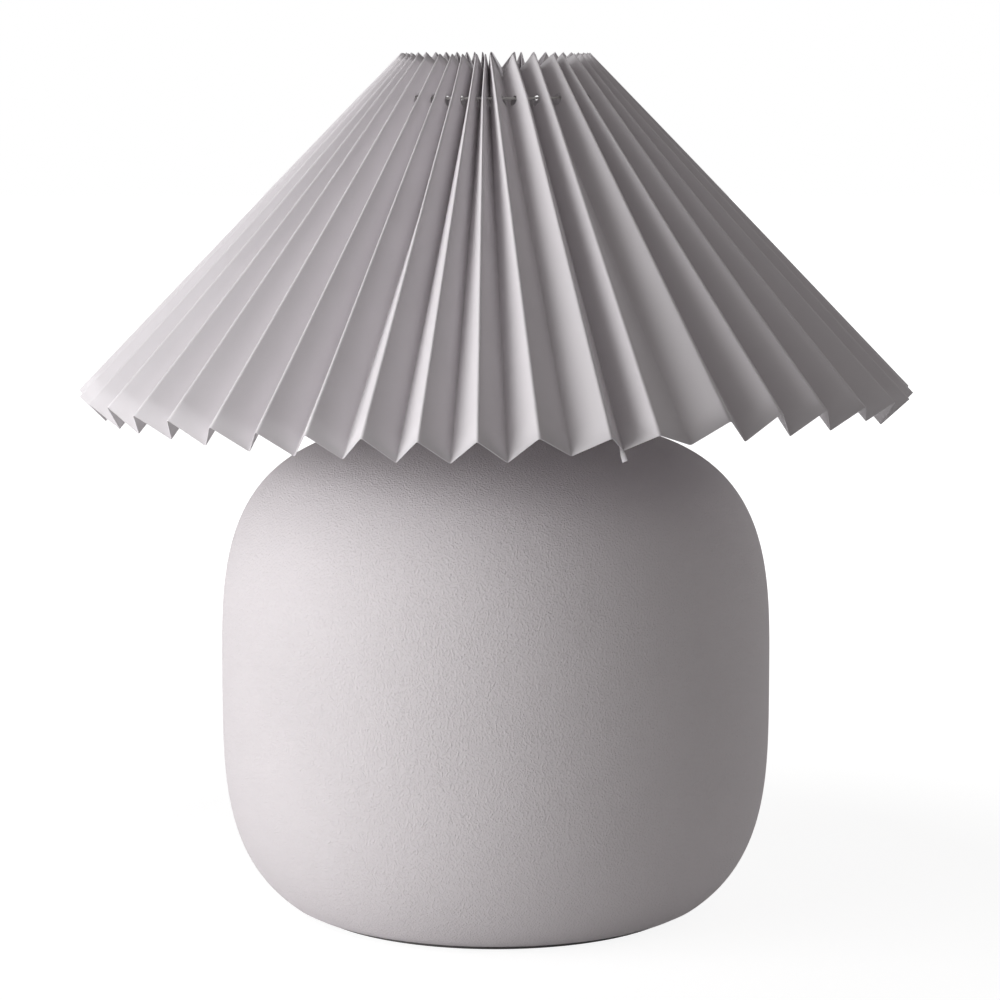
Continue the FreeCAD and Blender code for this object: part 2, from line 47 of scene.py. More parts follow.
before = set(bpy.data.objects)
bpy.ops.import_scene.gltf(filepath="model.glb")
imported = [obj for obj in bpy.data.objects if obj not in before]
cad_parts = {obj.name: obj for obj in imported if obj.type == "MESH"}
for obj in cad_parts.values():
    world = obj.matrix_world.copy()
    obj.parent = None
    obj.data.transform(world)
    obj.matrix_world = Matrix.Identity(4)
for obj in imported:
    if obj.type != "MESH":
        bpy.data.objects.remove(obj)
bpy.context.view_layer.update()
MM = 0.001


# ---- small geometry helpers ----
def around(bearing, radius, height):
    """The point at a bearing in degrees, a distance from the axis and a height."""
    angle = math.radians(bearing)
    return Vector((radius * math.sin(angle), -radius * math.cos(angle), height))


def radius_of(node):
    """Half the width of a node that is round about the axis."""
    low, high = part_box(node)
    return (high.x - low.x) / 2


def ease(share):
    """Smooth step from 0 to 1."""
    share = min(max(share, 0.0), 1.0)
    return share * share * (3 - 2 * share)


def new_piece(name, mesh, body, material, sharp_degrees=35):
    """Link a mesh as a piece of the lamp that rides on a body, shaded smooth up to an angle."""
    mesh.validate()
    mesh.shade_smooth()
    mesh.set_sharp_from_angle(angle=math.radians(sharp_degrees))
    piece = bpy.data.objects.new(name, mesh)
    bpy.context.scene.collection.objects.link(piece)
    mesh.materials.append(material)
    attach(piece, body)
    return piece


def lathe_mesh(name, outline, segments=96, closed=True):
    """A surface turned about the axis from (radius, height) points; a closed outline makes a solid."""
    shape = bmesh.new()
    rings = []
    for radius, height in outline:
        if radius < 1e-6:
            rings.append([shape.verts.new((0, 0, height))])
            continue
        rings.append([shape.verts.new(around(360 * turn / segments, radius, height))
                      for turn in range(segments)])
    pairs = list(zip(rings, rings[1:]))
    if closed:
        pairs.append((rings[-1], rings[0]))
    for low, high in pairs:
        if len(low) == 1 and len(high) == 1:
            continue
        for turn in range(segments):
            after = (turn + 1) % segments
            corners = [low[turn % len(low)], low[after % len(low)],
                       high[after % len(high)], high[turn % len(high)]]
            shape.faces.new(list(dict.fromkeys(corners)))
    bmesh.ops.recalc_face_normals(shape, faces=shape.faces)
    mesh = bpy.data.meshes.new(name)
    shape.to_mesh(mesh)
    shape.free()
    return mesh


def rounded(corners, bend, steps=4):
    """The (radius, height) corners of an outline with each corner cut to a small arc."""
    points = []
    count = len(corners)
    for number, (x, z) in enumerate(corners):
        corner = Vector((x, z))
        back = Vector(corners[number - 1]) - corner
        ahead = Vector(corners[(number + 1) % count]) - corner
        reach = min(bend, back.length / 2.2, ahead.length / 2.2)
        if x < 1e-6 or reach < 1e-6:
            points.append((x, z))
            continue
        start = corner + back.normalized() * reach
        end = corner + ahead.normalized() * reach
        for step in range(steps + 1):
            share = step / steps
            point = start * (1 - share) ** 2 + corner * 2 * share * (1 - share) + end * share ** 2
            points.append((point.x, point.y))
    return points


# ---- materials ----
def new_material(name):
    """An empty node material with its shader, and short calls to add nodes and links."""
    material = bpy.data.materials.new(name)
    material.use_nodes = True
    nodes = material.node_tree.nodes
    nodes.clear()
    output = nodes.new("ShaderNodeOutputMaterial")
    shader = nodes.new("ShaderNodeBsdfPrincipled")
    material.node_tree.links.new(shader.outputs["BSDF"], output.inputs["Surface"])
    return material, shader


def add_node(material, kind, **inputs):
    """A node with some of its inputs set, by name with spaces as underscores."""
    node = material.node_tree.nodes.new(kind)
    for name, value in inputs.items():
        node.inputs[name.replace("_", " ")].default_value = value
    return node


def join(material, output, target):
    material.node_tree.links.new(output, target)


def object_noise(material, scale, detail, stretch=(1, 1, 1), turn=(0, 0, 0)):
    """Noise fixed to the piece: scale in cells per metre, stretched and turned first."""
    place = add_node(material, "ShaderNodeTexCoord")
    mapping = add_node(material, "ShaderNodeMapping", Scale=stretch, Rotation=turn)
    noise = add_node(material, "ShaderNodeTexNoise", Scale=scale, Detail=detail)
    join(material, place.outputs["Object"], mapping.inputs["Vector"])
    join(material, mapping.outputs["Vector"], noise.inputs["Vector"])
    return noise


def tint(material, shader, noise, dark, light, low=0.35, high=0.65):
    """Base colour between two tones, picked by a noise."""
    ramp = add_node(material, "ShaderNodeValToRGB")
    ramp.color_ramp.elements[0].position = low
    ramp.color_ramp.elements[0].color = (*dark, 1)
    ramp.color_ramp.elements[1].position = high
    ramp.color_ramp.elements[1].color = (*light, 1)
    join(material, noise.outputs["Fac"], ramp.inputs["Fac"])
    join(material, ramp.outputs["Color"], shader.inputs["Base Color"])


def bump(material, shader, height, strength, distance, below=None):
    """A bump from a height output, laid over another bump if one is given."""
    node = add_node(material, "ShaderNodeBump", Strength=strength, Distance=distance)
    join(material, height, node.inputs["Height"])
    if below:
        join(material, below.outputs["Normal"], node.inputs["Normal"])
    join(material, node.outputs["Normal"], shader.inputs["Normal"])
    return node


def rough_range(material, shader, noise, low, high):
    """Roughness that wanders between two values with a noise."""
    spread = add_node(material, "ShaderNodeMapRange", To_Min=low, To_Max=high)
    join(material, noise.outputs["Fac"], spread.inputs["Value"])
    join(material, spread.outputs["Result"], shader.inputs["Roughness"])


def scaled(color, factor):
    return tuple(channel * factor for channel in color)


def stoneware_finish(color, grain):
    """Matt slip with the fine raised grains of sprayed stoneware."""
    material, shader = new_material("matt_stoneware")
    cloud = object_noise(material, scale=9, detail=3)
    tint(material, shader, cloud, scaled(color, 0.965), color)
    pebbles = object_noise(material, scale=1 / grain, detail=2, stretch=(1, 1, 0.85), turn=(0, 0.35, 0))
    grains = add_node(material, "ShaderNodeMapRange", From_Min=0.47, From_Max=0.78)
    join(material, pebbles.outputs["Fac"], grains.inputs["Value"])
    waves = object_noise(material, scale=0.1 / grain, detail=2)
    under = bump(material, shader, waves.outputs["Fac"], strength=0.2, distance=0.0010)
    bump(material, shader, grains.outputs["Result"], strength=0.9, distance=0.0003, below=under)
    rough_range(material, shader, pebbles, low=0.72, high=0.9)
    shader.inputs["Specular IOR Level"].default_value = 0.3
    return material


def paper_finish(color):
    """Smooth uncoated paper with a faint cloudiness and fibre."""
    material, shader = new_material("folding_paper")
    cloud = object_noise(material, scale=26, detail=4)
    tint(material, shader, cloud, scaled(color, 0.975), color)
    fibre = object_noise(material, scale=900, detail=3, stretch=(1, 1, 0.4))
    bump(material, shader, fibre.outputs["Fac"], strength=0.12, distance=0.0002)
    rough_range(material, shader, fibre, low=0.8, high=0.95)
    shader.inputs["Specular IOR Level"].default_value = 0.2
    return material


def plain_finish(name, color, roughness, metal=0.0, grain=0.0012, relief=0.05, stretch=(1, 1, 1)):
    """Moulded plastic, rubber, painted or bare metal: slight tone, sheen and surface variation."""
    material, shader = new_material(name)
    cloud = object_noise(material, scale=60, detail=3)
    tint(material, shader, cloud, scaled(color, 0.93), color)
    texture = object_noise(material, scale=1 / grain, detail=3, stretch=stretch)
    bump(material, shader, texture.outputs["Fac"], strength=relief, distance=0.0004)
    rough_range(material, shader, texture, low=roughness * 0.85, high=min(roughness * 1.15, 1.0))
    shader.inputs["Metallic"].default_value = metal
    return material


FINISHES = {}


def finish(name):
    """A material by the finish's name, made once."""
    if name in FINISHES:
        return FINISHES[name]
    colors = bpy.context.scene.lamp_colors
    makers = {
        "stoneware": lambda: stoneware_finish(tuple(colors.stoneware),
                                              bpy.context.scene.lamp_body.pebble_size),
        "paper": lambda: paper_finish(tuple(colors.paper)),
        "foam": lambda: plain_finish("foot_foam", tuple(colors.foot), 0.95, grain=0.0007, relief=0.5),
        "black_plastic": lambda: plain_finish("black_moulding", (0.03, 0.03, 0.03), 0.55, relief=0.2),
        "white_plastic": lambda: plain_finish("white_moulding", tuple(colors.fittings), 0.42),
        "zinc": lambda: plain_finish("zinc_plate", (0.60, 0.60, 0.57), 0.36, metal=1.0),
        "rubber": lambda: plain_finish("gasket_rubber", (0.035, 0.035, 0.035), 0.8, relief=0.2),
        "powder_coat": lambda: plain_finish("powder_coat", tuple(colors.fittings), 0.5,
                                            grain=0.0006, relief=0.18),
        "brass": lambda: plain_finish("brass_sheet", (0.76, 0.57, 0.26), 0.34, metal=1.0),
        "insert_ceramic": lambda: plain_finish("insert_ceramic", (0.82, 0.80, 0.75), 0.6, relief=0.2),
        "nickel": lambda: plain_finish("nickel_cap", (0.66, 0.65, 0.62), 0.28, metal=1.0,
                                       stretch=(1, 1, 8)),
        "bulb_plastic": lambda: plain_finish("bulb_housing", (0.82, 0.82, 0.81), 0.4),
        "opal": lambda: plain_finish("opal_globe", (0.88, 0.88, 0.86), 0.22, relief=0.01),
        "board": lambda: plain_finish("light_board", (0.72, 0.75, 0.72), 0.5),
    }
    FINISHES[name] = makers[name]()
    return FINISHES[name]


def dress(nodes, finish_name):
    """Give carried-over nodes a finish."""
    for name in nodes:
        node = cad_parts[name]
        node.data.materials.clear()
        node.data.materials.append(finish(finish_name))


# ---- settings ----
class LampBodySettings(bpy.types.PropertyGroup):
    """Shape and surface of the stoneware body."""
    belly_height: FloatProperty(name="Belly height", description="Height of the widest place",
                                default=0.1249, unit="LENGTH")
    squareness: FloatProperty(name="Squareness", default=3.41, min=2.0, max=8.0,
                              description="How square the outline is: 2 is an ellipse")
    wall: FloatProperty(name="Wall", description="Thickness of the stoneware",
                        default=0.0055, unit="LENGTH")
    mouth_radius: FloatProperty(name="Mouth radius", description="Radius of the hole underneath",
                                default=0.075, unit="LENGTH")
    edge_round: FloatProperty(name="Edge round", description="Round of the lower edge",
                              default=0.0035, unit="LENGTH")
    pebble_size: FloatProperty(name="Pebble size", description="Width of one grain of the surface",
                               default=0.0010, unit="LENGTH")


class LampShadeSettings(bpy.types.PropertyGroup):
    """Size and folds of the paper shade."""
    pleats: IntProperty(name="Pleats", description="Number of outer folds", default=45, min=20)
    rim_radius: FloatProperty(name="Rim radius", description="Outer folds, at the rim",
                              default=0.225, unit="LENGTH")
    rim_height: FloatProperty(name="Rim height", description="Outer folds, at the rim",
                              default=0.2852, unit="LENGTH")
    rim_panel: FloatProperty(name="Rim panel width", default=0.0238, unit="LENGTH",
                             description="From an outer fold to the inner fold beside it, at the rim")
    mouth_radius: FloatProperty(name="Mouth radius", description="Outer folds, at the mouth",
                                default=0.0515, unit="LENGTH")
    mouth_height: FloatProperty(name="Mouth height", description="Outer folds, at the mouth",
                                default=0.4658, unit="LENGTH")
    mouth_panel: FloatProperty(name="Mouth panel width", default=0.0154, unit="LENGTH",
                               description="From an outer fold to the inner fold beside it, at the mouth")
    mouth_tilt: FloatProperty(name="Mouth tilt", default=0.00075, unit="LENGTH",
                              description="Rise of the mouth at the front, and its fall at the back")
    thickness: FloatProperty(name="Paper thickness", description="Thickness of the sheet",
                             default=0.0004, unit="LENGTH")
    fold_round: FloatProperty(name="Fold round", default=0.0013, unit="LENGTH",
                              description="How far the paper rounds off at an inner fold")
    ridge_round: FloatProperty(name="Ridge round", description="The same for an outer fold, at the rim",
                               default=0.0018, unit="LENGTH")
    tip_round: FloatProperty(name="Tip round", description="The same for an outer fold, at the mouth",
                             default=0.0034, unit="LENGTH")
    hole_radius: FloatProperty(name="Hole radius", description="Radius of a punched hole",
                               default=0.0028, unit="LENGTH")
    hole_offset: FloatProperty(name="Hole offset", description="Middle of a hole from its inner fold",
                               default=0.0053, unit="LENGTH")
    hole_drop: FloatProperty(name="Hole drop", default=0.0014, unit="LENGTH",
                             description="Middle of a hole below the wire, along the fold")
    bow: FloatProperty(name="Bow", description="How far a panel bends out of flat",
                       default=0.0006, unit="LENGTH")


class LampColorSettings(bpy.types.PropertyGroup):
    """Colours of the lamp."""
    stoneware: FloatVectorProperty(name="Stoneware", description="Slip on the body", subtype="COLOR",
                                   default=(0.755, 0.716, 0.735), min=0, max=1)
    paper: FloatVectorProperty(name="Paper", description="Folded sheet of the shade", subtype="COLOR",
                               default=(0.79, 0.762, 0.785), min=0, max=1)
    foot: FloatVectorProperty(name="Foot", description="Foam ring under the body", subtype="COLOR",
                              default=(0.13, 0.125, 0.125), min=0, max=1)
    fittings: FloatVectorProperty(name="Fittings", description="White plastic and painted wire",
                                  subtype="COLOR", default=(0.78, 0.77, 0.75), min=0, max=1)


class LampStudioSettings(bpy.types.PropertyGroup):
    """Camera and light."""
    camera_distance: FloatProperty(name="Camera distance", description="From the lamp's axis",
                                   default=1.9689, unit="LENGTH")
    camera_height: FloatProperty(name="Camera height", description="Above the table",
                                 default=0.5151, unit="LENGTH")
    camera_aside: FloatProperty(name="Camera aside", description="To the right of the axis",
                                default=0.0023, unit="LENGTH")
    camera_down: FloatProperty(name="Camera tilt", description="How far the camera looks down",
                               default=math.radians(8.432), subtype="ANGLE")
    lens: FloatProperty(name="Lens", description="Focal length in millimetres", default=131.74,
                        unit="CAMERA")
    key_power: FloatProperty(name="Key light", description="Power of the soft light from the left",
                             default=29.0, subtype="POWER")
    upper_power: FloatProperty(name="Upper light", description="Power of the weak light from above",
                               default=6.0, subtype="POWER")
    edge_power: FloatProperty(name="Edge light", description="Power of the weak light from the right",
                              default=4.0, subtype="POWER")
    room_light: FloatProperty(name="Room light", description="Strength of the light from all round",
                              default=0.18, min=0)


# ---- stoneware body ----
def body_outline(radius, top, base, settings):
    """(radius, height) points of the superellipse from its flat base to its flat top."""
    belly = settings.belly_height
    half_height = top - belly
    power = settings.squareness
    steps = 150
    start = math.asin(((belly - base) / half_height) ** (power / 2))
    points = []
    for step in range(steps + 1):
        angle = -start + (start + math.pi / 2) * step / steps
        across = radius * max(math.cos(angle), 0.0) ** (2 / power)
        rise = math.copysign(abs(math.sin(angle)) ** (2 / power), angle)
        points.append((across, belly + half_height * rise))
    points[0] = (points[0][0], base)
    return points


class LAMP_OT_stoneware_body(bpy.types.Operator):
    """Turn the stoneware body, with its wall, its mouth underneath and the hole in its top"""
    bl_idname = "lamp.stoneware_body"
    bl_label = "Stoneware Body"

    def execute(self, context):
        settings = context.scene.lamp_body
        low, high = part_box("ceramic_body")
        clearance = 0.4 * MM
        nipple = radius_of("threaded_nipple") + clearance
        outer = body_outline(radius_of("ceramic_body"), high.z, low.z, settings)
        outer = [point for point in outer if point[0] > nipple]
        edge = outer[0]
        wall_above = [point for point in outer[1:] if point[1] > edge[1] + settings.edge_round * 0.8]
        reach = settings.edge_round * 1.6
        underside = (edge[0] - reach, edge[1])
        corner = rounded([underside, edge, wall_above[0]], reach, 8)
        into_edge = corner[6:12]        # from the flat underside into the round of its edge
        inner = body_outline(radius_of("ceramic_body") - settings.wall, high.z - settings.wall,
                             low.z + settings.wall, settings)
        inner = [point for point in inner if point[0] > nipple][::8]
        loop = ([(settings.mouth_radius, low.z), underside] + into_edge + wall_above
                + [(nipple, high.z), (nipple, inner[-1][1])] + inner[::-1]
                + [(settings.mouth_radius, inner[0][1])])
        mesh = lathe_mesh("stoneware_body", loop, segments=320)
        piece = new_piece("stoneware_body", mesh, "base", finish("stoneware"))
        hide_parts("ceramic_body")
        return {"FINISHED"}


class LAMP_OT_foot(bpy.types.Operator):
    """Turn the foam ring the body stands on, and finish the moulded cover inside it"""
    bl_idname = "lamp.foot"
    bl_label = "Foot"

    def execute(self, context):
        low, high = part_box("foot_ring")
        outer = radius_of("foot_ring")
        foam_width = 15 * MM
        inner = outer - foam_width
        corners = [(inner, low.z), (outer, low.z), (outer, high.z), (inner, high.z)]
        mesh = lathe_mesh("foot_foam_ring", rounded(corners, 0.8 * MM), segments=192)
        piece = new_piece("foot_foam_ring", mesh, "base", finish("foam"))
        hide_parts("foot_ring")
        dress(["bottom_cover"], "black_plastic")
        return {"FINISHED"}


# ---- shade ----
# Bearings of the outer folds at the front, left to right: at the rim, beside the wire and at the
# mouth.
FRONT_RIM = (-63.4, -54.9, -47.2, -39.0, -31.5, -24.4, -16.8, -9.6, -2.2,
             5.5, 14.6, 20.9, 31.7, 40.6, 49.2, 58.3, 68.5)
FRONT_WIRE = (-66.0, -59.0, -52.0, -43.6, -34.0, -26.2, -18.4, -10.7, -5.3,
              0.0, 13.1, 23.1, 34.8, 42.2, 52.5, 60.8, 68.5)
FRONT_MOUTH = (-66.5, -59.9, -53.7, -45.6, -35.5, -26.8, -20.2, -11.4, -6.0,
               -3.3, 10.4, 23.9, 37.0, 44.1, 55.5, 63.5, 70.7)
# Folds at the back that show over the mouth: share of the way round the back, and bearing.
BACK_MOUTH = ((8 / 29, 133.2), (9 / 29, 140.0), (10 / 29, 147.2), (12 / 29, 164.0), (13 / 29, 168.0),
              (14 / 29, 183.2), (17 / 29, 198.4), (18 / 29, 204.9), (19 / 29, 212.6), (20 / 29, 220.5))
# Millimetres that the sheet is cut shorter at each front corner of the rim, outer and inner folds
# by turns.
FRONT_TRIM = (2.0, 0.0, 0.9, 1.5, 1.5, 0.5, 0.5, 0.8, 0.0, 0.8, 0.4, 0.3, 0.3, 0.0, -0.8, 0.0, -0.4,
              0.4, 1.5, 1.9, 0.4, 7.4, 1.0, 1.8, 6.9, 4.8, 8.8, 5.2, 7.0, 4.0, 4.5, 3.0, 2.5)
SEED = 7                       # for the small differences between the folds
SEAM_PLEAT = 10                # the glued seam lies in the valley after this ridge
OPEN_VALLEY = 19               # corner of the front valley that is cut deeper at the mouth
OPEN_TRIM = 5.5                # millimetres that the sheet is cut shorter there
TAB_WIDTH = 4.0                # millimetres of the glued end inside the panel before the seam
TAB_HANG = 6.5                 # millimetres that its loose foot hangs out below the rim
TAB_LOOSE_STEPS = 6            # rows of the tab's mesh over that foot, and over its bend
TAB_GLUED_STEPS = 33           # rows of the tab's mesh along the seam
GLUE_GAP = 0.45                # millimetres between the middles of two glued sheets
RIM_WANDER = 0.35              # degrees that a fold strays at the rim
WIRE_WANDER = 0.35             # and beside the wire
MOUTH_WANDER = 0.1             # and at the mouth
FLATTEST_FOLD = 0.95           # largest share of a panel's width that it may span sideways
HOLE_MARGIN = 0.6              # millimetres from a hole to the square of cells round it
HOLE_STEPS = 8                 # cells along each side of that square
ROWS_BELOW = 16                # rows of cells from the rim to the holes
ROWS_ABOVE = 5                 # rows of cells from the holes to the mouth
FOLD_STEPS = 3                 # columns of cells over each half of a rounded fold
HOLE_COLUMN = FOLD_STEPS + 1   # columns between an inner fold and the square round a hole
ARMS = [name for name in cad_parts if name.startswith("carrier_arm")]


def mix(low, high, share):
    return low + (high - low) * share


def between(stops, place):
    """Straight interpolation through (place, value) stops."""
    for (low, low_value), (high, high_value) in zip(stops, stops[1:]):
        if place <= high:
            return mix(low_value, high_value, max(0.0, (place - low) / (high - low)))
    return stops[-1][1]


def bearing_of(point):
    return math.degrees(math.atan2(point.x, -point.y))


def turn_between(first, second):
    """The angle between two bearings, in degrees."""
    return abs((first - second + 180) % 360 - 180)


def arm_bearings():
    """Bearings of the carrier's arms, whose cradles stand inside outer folds."""
    boxes = [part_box(name) for name in ARMS]
    return [bearing_of((low + high) / 2) for low, high in boxes]


class FoldedSheet:
    """Places on the folded sheet, by panel and by share of the way from the rim to the mouth."""

    def __init__(self, settings):
        self.settings = settings
        self.random = random.Random(SEED)
        run = settings.rim_radius - settings.mouth_radius
        rise = settings.mouth_height - settings.rim_height
        self.length = math.hypot(run, rise)
        self.sink = (rise / self.length, run / self.length)
        low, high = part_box("shade_wire")
        wire_in = settings.rim_radius - (high.x - low.x) / 2
        wire_up = (low.z + high.z) / 2 - settings.rim_height
        wire_share = (wire_in * run + wire_up * rise) / self.length ** 2
        self.hole_share = wire_share - settings.hole_drop / self.length
        self.square = settings.hole_radius + HOLE_MARGIN * MM
        self.bend_share = self.hole_share - self.square / self.length
        rim = self.all_round(FRONT_RIM, (), RIM_WANDER)
        mouth = self.all_round(FRONT_MOUTH, BACK_MOUTH, MOUTH_WANDER)
        beside_wire = list(FRONT_WIRE)
        for number in range(len(FRONT_WIRE), settings.pleats):
            foot = around(rim[number], settings.rim_radius, 0)
            top = around(mouth[number], settings.mouth_radius, 0)
            wander = self.random.uniform(-WIRE_WANDER, WIRE_WANDER)
            beside_wire.append(bearing_of(foot.lerp(top, self.bend_share)) + wander)
        for bearing in arm_bearings():
            gaps = [turn_between(fold, bearing) for fold in beside_wire]
            beside_wire[gaps.index(min(gaps))] = bearing
        levels = ((rim, 0), (beside_wire, self.bend_share), (mouth, 1))
        self.low, self.middle, self.high = (self.corners(*level) for level in levels)
        for number, trim in enumerate(FRONT_TRIM):
            along = (self.middle[number] - self.low[number]).normalized()
            self.low[number] = self.low[number] + along * trim * MM
        along = (self.middle[OPEN_VALLEY] - self.high[OPEN_VALLEY]).normalized()
        self.high[OPEN_VALLEY] = self.high[OPEN_VALLEY] + along * OPEN_TRIM * MM
        self.count = len(self.low)
        self.bows = [self.random.uniform(-1, 1) * settings.bow for _ in range(self.count)]

    def all_round(self, front, stops, wander):
        """The front's bearings, then the others through the stops round the back, moved a little."""
        rest = self.settings.pleats - len(front)
        stops = ((0, front[-1]),) + stops + ((1, front[0] + 360),)
        back = [between(stops, (number + 1) / (rest + 1)) + self.random.uniform(-wander, wander)
                for number in range(rest)]
        return list(front) + back

    def corners(self, bearings, share):
        """A ridge and then a valley, once round. A wider gap makes a shallower valley."""
        settings = self.settings
        radius = mix(settings.rim_radius, settings.mouth_radius, share)
        height = mix(settings.rim_height, settings.mouth_height, share)
        width = mix(settings.rim_panel, settings.mouth_panel, share)
        points = []
        for number, bearing in enumerate(bearings):
            half_gap = (bearings[(number + 1) % len(bearings)] - bearing) % 360 / 2
            across = min(radius * math.radians(half_gap), FLATTEST_FOLD * width)
            depth = math.sqrt(width ** 2 - across ** 2)
            for turn, down in ((bearing, 0), (bearing + half_gap, depth)):
                tilt = settings.mouth_tilt * share * math.cos(math.radians(turn))
                points.append(around(turn, radius - down * self.sink[0],
                                     height + tilt - down * self.sink[1]))
        return points

    def fold(self, number, share):
        """A fold's place; the wire bends the folds a little aside."""
        number %= self.count
        if share < self.bend_share:
            return self.low[number].lerp(self.middle[number], share / self.bend_share)
        part = (share - self.bend_share) / (1 - self.bend_share)
        return self.middle[number].lerp(self.high[number], part)

    def rounds(self, number, share):
        """How far the paper rounds off at the panel's first and at its second fold."""
        valley = self.settings.fold_round
        ridge = mix(self.settings.ridge_round, self.settings.tip_round, share ** 4)
        return (valley, ridge) if number % 2 else (ridge, valley)

    def width(self, number, share):
        return (self.fold(number + 1, share) - self.fold(number, share)).length

    def point(self, number, share, reach):
        """The point of a panel at a distance from its first fold."""
        before, corner, following, after = (self.fold(number + step, share) for step in (-1, 0, 1, 2))
        width = (following - corner).length
        along = (following - corner) / width
        first, last = self.rounds(number, share)
        if reach < first:
            back = (before - corner).normalized()
            part = (reach + first) / (2 * first)
            return corner + first * ((1 - part) ** 2 * back + part ** 2 * along)
        if reach > width - last:
            ahead = (after - following).normalized()
            part = (width - reach + last) / (2 * last)
            return following + last * ((1 - part) ** 2 * ahead - part ** 2 * along)
        up = (self.high[number] - self.low[number]).normalized()
        middle = math.sin(math.pi * (reach - first) / (width - first - last))
        bow = self.bows[number] * math.sin(math.pi * share) * middle
        return corner + along * reach + along.cross(up) * bow

    def rows(self):
        """Shares from the rim to the mouth, closer together over the punched holes."""
        base = self.bend_share
        top = 2 * self.hole_share - base
        below = [base * step / ROWS_BELOW for step in range(ROWS_BELOW)]
        beside = [mix(base, top, step / HOLE_STEPS) for step in range(HOLE_STEPS + 1)]
        above = [mix(top, 1, step / ROWS_ABOVE) for step in range(1, ROWS_ABOVE + 1)]
        return below + beside + above

    def columns(self, number, share):
        """Distances of a panel's columns from its first fold, its second fold left out."""
        width = self.width(number, share)
        first, last = self.rounds(number, share)
        near, tip = (first, last) if number % 2 else (last, first)
        square = [self.settings.hole_offset + self.square * (2 * step / HOLE_STEPS - 1)
                  for step in range(HOLE_STEPS + 1)]
        far = width - tip
        middle = [mix(square[-1], far, part) for part in (0.33, 0.67)]
        from_valley = ([near * step / FOLD_STEPS for step in range(FOLD_STEPS + 1)] + square + middle
                       + [mix(far, width, step / FOLD_STEPS) for step in range(FOLD_STEPS)])
        if number % 2:
            return from_valley
        return [0] + [width - distance for distance in reversed(from_valley[1:])]


def square_edge():
    """(column, row) places round the edge of a hole's square, from the middle of its far side."""
    side = HOLE_STEPS
    half = side // 2
    return ([(side, step) for step in range(half, side)] + [(side - step, side) for step in range(side)]
            + [(0, side - step) for step in range(side)] + [(step, 0) for step in range(side)]
            + [(side, step) for step in range(half)])


def folded_sheet_mesh(sheet):
    """The sheet's middle surface, with its round punched holes left open."""
    shape = bmesh.new()
    rows = sheet.rows()
    grid = []
    for share in rows:
        grid.append([shape.verts.new(sheet.point(number, share, reach))
                     for number in range(sheet.count) for reach in sheet.columns(number, share)])
    columns = len(grid[0]) // sheet.count
    first_row = ROWS_BELOW
    for row in range(len(rows) - 1):
        for place in range(len(grid[row])):
            number, column = divmod(place, columns)
            from_valley = column if number % 2 else columns - 1 - column
            if (0 <= row - first_row < HOLE_STEPS and 0 <= from_valley - HOLE_COLUMN < HOLE_STEPS):
                continue
            after = (place + 1) % len(grid[row])
            shape.faces.new((grid[row][place], grid[row][after],
                             grid[row + 1][after], grid[row + 1][place]))
    edge = square_edge()
    for number in range(sheet.count):
        inner = []
        outer = []
        for step, (column, row) in enumerate(edge):
            angle = 2 * math.pi * step / len(edge)
            share = sheet.hole_share + sheet.settings.hole_radius * math.sin(angle) / sheet.length
            reach = sheet.settings.hole_offset + sheet.settings.hole_radius * math.cos(angle)
            column += HOLE_COLUMN
            if number % 2 == 0:
                reach = sheet.width(number, share) - reach
                column = columns - column
            inner.append(shape.verts.new(sheet.point(number, share, reach)))
            outer.append(grid[first_row + row][(number * columns + column) % len(grid[0])])
        for step in range(len(edge)):
            after = (step + 1) % len(edge)
            shape.faces.new((outer[step], outer[after], inner[after], inner[step]))
    loose = [vertex for vertex in shape.verts if not vertex.link_faces]
    bmesh.ops.delete(shape, geom=loose, context="VERTS")
    bmesh.ops.recalc_face_normals(shape, faces=shape.faces)
    mesh = bpy.data.meshes.new("folded_paper_shade")
    shape.to_mesh(mesh)
    shape.free()
    return mesh


def thicken(piece, thickness):
    """Give a sheet its thickness, half to each side."""
    solid = piece.modifiers.new("thickness", "SOLIDIFY")
    solid.thickness = thickness
    solid.offset = 0
    solid.use_even_offset = False


def glue_tab_mesh(sheet):
    """The sheet's glued end: it lies inside the panel before the seam, and its foot hangs out below."""
    number = 2 * SEAM_PLEAT + 1
    hanging = TAB_HANG * MM / sheet.length
    shape = bmesh.new()
    rows = []
    for step in range(-TAB_LOOSE_STEPS, TAB_LOOSE_STEPS + TAB_GLUED_STEPS + 1):
        share = hanging * step / TAB_LOOSE_STEPS
        if step >= TAB_LOOSE_STEPS:
            share = mix(hanging, 1, (step - TAB_LOOSE_STEPS) / TAB_GLUED_STEPS)
        fold = sheet.fold(number, share)
        left = (sheet.fold(number - 1, share) - fold).normalized()
        right = (sheet.fold(number + 1, share) - fold).normalized()
        outward = (left + right).normalized()
        inward = (left * outward.dot(left) - outward).normalized() * GLUE_GAP * MM
        loose = 1 - ease(share / hanging + 0.5)
        start = (fold + left * 1.0 * MM + inward).lerp(fold + right * 0.8 * MM, loose)
        end = (fold + left * TAB_WIDTH * MM + inward).lerp(fold - right * 2.4 * MM, loose)
        rows.append((shape.verts.new(start), shape.verts.new(end)))
    for low, high in zip(rows, rows[1:]):
        shape.faces.new((low[0], low[1], high[1], high[0]))
    mesh = bpy.data.meshes.new("seam_glue_tab")
    shape.to_mesh(mesh)
    shape.free()
    return mesh


